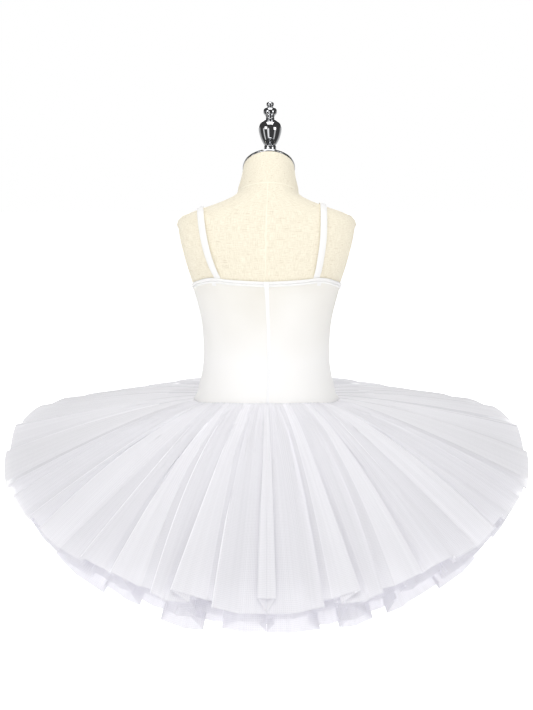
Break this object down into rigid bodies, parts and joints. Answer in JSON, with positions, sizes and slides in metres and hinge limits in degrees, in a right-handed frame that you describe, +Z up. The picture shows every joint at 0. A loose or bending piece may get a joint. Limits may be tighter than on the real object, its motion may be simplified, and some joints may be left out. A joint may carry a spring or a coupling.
{
  "type": "ballet tutu on a dress form",
  "caption": "White ballet tutu with a camisole bodice and a flared skirt of pleated net layers, worn by a limbless child's dress form with neck cap, finial and round stand.",
  "frame": {"origin": "middle of the underside of the stand's round base", "axes": "+Z up; the garment's front faces -Y and its back +Y; +X is the wearer's left"},
  "size_m": [0.7788, 0.773, 0.7136],
  "materials": {
    "tulle": "sheer net",
    "knit": "matte stretch knit",
    "linen": "matte slub linen",
    "chrome": "polished"
  },
  "bodies": {
    "root": {"form_torso": "linen", "form_neck_cap": "chrome", "form_finial": "chrome", "stand_pole": "chrome", "stand_collar": "chrome", "stand_base": "chrome", "bodice_front": "knit", "bodice_back_left": "knit", "bodice_back_right": "knit", "neckline_binding": "knit", "strap_left": "knit", "strap_right": "knit", "hip_yoke": "knit", "tulle_layer_1": "tulle", "tulle_layer_2": "tulle", "tulle_layer_3": "tulle", "tulle_layer_4": "tulle", "tulle_layer_5": "tulle"}
  },
  "joints": []
}
